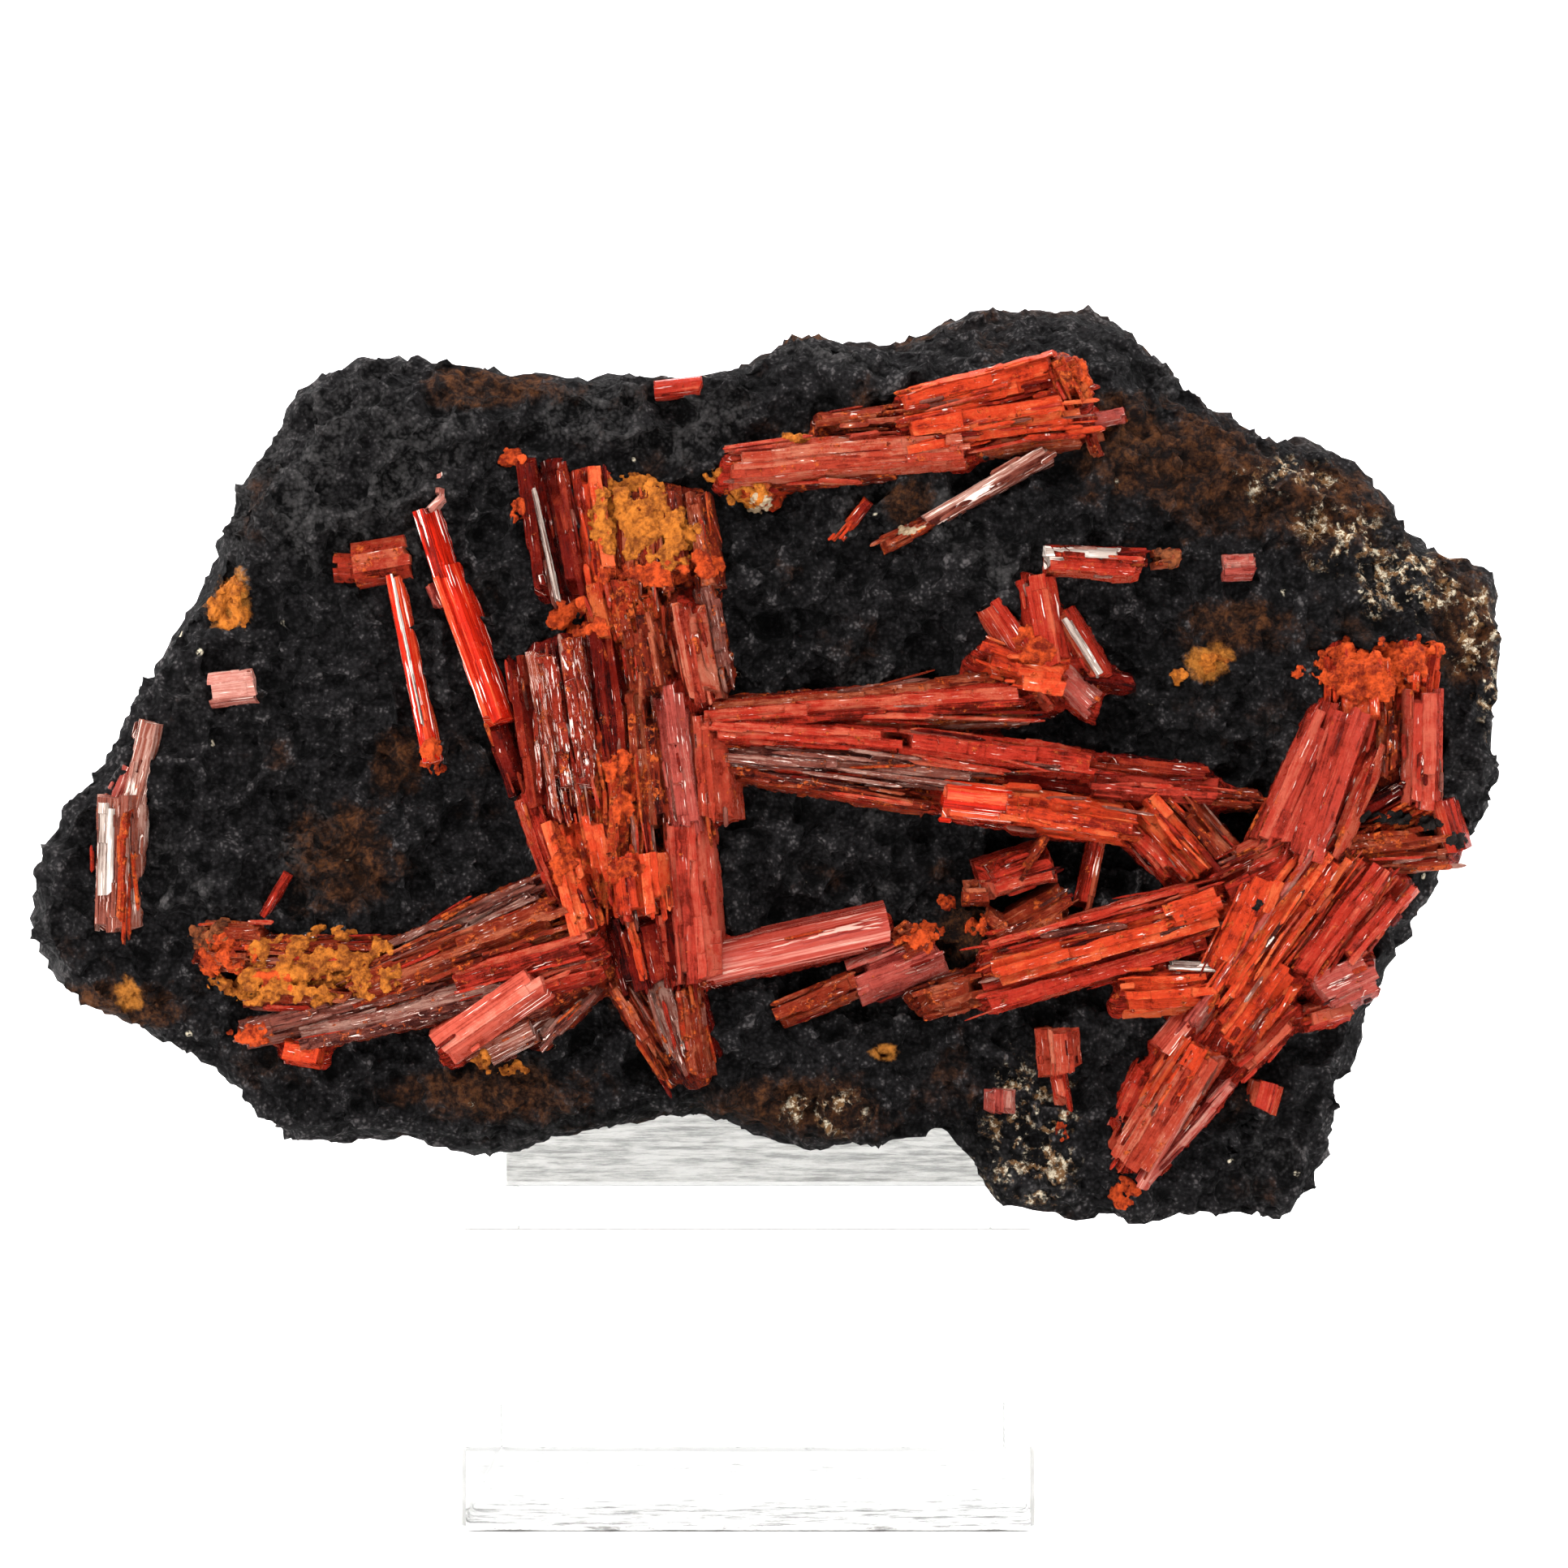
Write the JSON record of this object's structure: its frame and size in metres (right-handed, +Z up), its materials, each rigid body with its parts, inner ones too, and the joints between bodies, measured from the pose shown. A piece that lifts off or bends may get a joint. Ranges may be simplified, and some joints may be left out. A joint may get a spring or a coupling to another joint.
{
  "type": "crocoite on goethite mineral specimen",
  "caption": "Broad dark slab of lumpy goethite with sprays and single prisms of red crocoite on its face, set on a stepped block of clear acrylic.",
  "frame": {"origin": "centre of the acrylic stand's underside", "axes": "+Z up, the crystal-bearing face looks along -Y, +X to the right of someone facing it"},
  "size_m": [0.1101, 0.056, 0.0904],
  "materials": {
    "acrylic": "clear polished acrylic with sawn, frosted upright faces",
    "goethite": "dull, crumbly, pitted; charcoal with rusty and ochre patches and pale flecks",
    "crocoite": "adamantine, translucent, striated along each crystal; orange-red to salmon"
  },
  "bodies": {
    "root": {"acrylic_stand": "acrylic", "goethite_matrix": "goethite", "left_spray": "crocoite", "centre_bundle": "crocoite", "right_spray": "crocoite", "upper_bundle": "crocoite", "hammer_crystal": "crocoite", "bright_lath": "crocoite", "slanting_rod": "crocoite", "tiny_rod": "crocoite", "level_stub": "crocoite", "small_stub": "crocoite", "top_stub": "crocoite", "wedge_lath": "crocoite", "short_prism": "crocoite", "narrow_prism": "crocoite", "thin_lath": "crocoite", "pink_stub": "crocoite", "edge_crystal": "crocoite", "left_needle": "crocoite", "club_crystal": "crocoite", "corner_cube": "crocoite", "rhomb_cube": "crocoite"}
  },
  "joints": []
}
